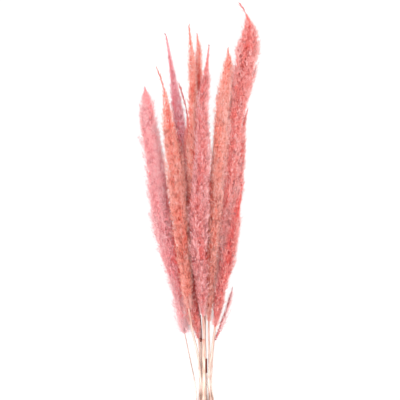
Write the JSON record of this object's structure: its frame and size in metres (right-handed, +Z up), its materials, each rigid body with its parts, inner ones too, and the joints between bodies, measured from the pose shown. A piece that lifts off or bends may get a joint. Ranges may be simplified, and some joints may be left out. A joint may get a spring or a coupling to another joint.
{
  "type": "pampas grass bundle",
  "caption": "Bundle of dyed dried pampas grass lying on its side: long feathery plumes in pinks and corals on bare straw culms that gather at their cut ends.",
  "frame": {"origin": "middle of the footprint of the whole bundle's box, on the surface that it lies on", "axes": "+Y along the stalks from the cut ends to the tips, +X across towards the tallest plume, +Z up from the surface"},
  "size_m": [0.2162, 0.757, 0.0704],
  "materials": {
    "plume_pink": "matte, hairy, dyed light cool pink",
    "plume_mauve": "matte, hairy, dyed mauve rose",
    "plume_rose": "matte, hairy, dyed dusty rose",
    "plume_orange": "matte, hairy, dyed salmon orange",
    "plume_coral": "matte, hairy, dyed coral",
    "plume_pale": "matte, hairy, dyed pale pink",
    "straw_culm": "satin, dry straw with fine lengthwise ridges",
    "leaf_sheath": "satin, red-brown dried leaf",
    "pale_sheath": "satin, straw-coloured dried leaf"
  },
  "bodies": {
    "root": {"plume_far_left": "plume_pink", "plume_left_mauve": "plume_mauve", "plume_front_centre": "plume_rose", "plume_left_wispy": "plume_orange", "plume_centre_tall": "plume_orange", "plume_centre_short": "plume_orange", "plume_inner_right": "plume_orange", "plume_inner_left": "plume_coral", "plume_right_tall": "plume_coral", "plume_far_right": "plume_coral", "plume_low_right": "plume_coral", "side_branch": "plume_pale", "culm_far_left": "straw_culm", "culm_left_mauve": "straw_culm", "culm_front_centre": "straw_culm", "culm_left_wispy": "straw_culm", "culm_centre_tall": "straw_culm", "culm_centre_short": "straw_culm", "culm_inner_right": "straw_culm", "culm_inner_left": "straw_culm", "culm_right_tall": "straw_culm", "culm_far_right": "straw_culm", "culm_low_right": "straw_culm", "sheath_left_mauve": "leaf_sheath", "sheath_centre_tall": "leaf_sheath", "sheath_front_centre": "pale_sheath"}
  },
  "joints": []
}
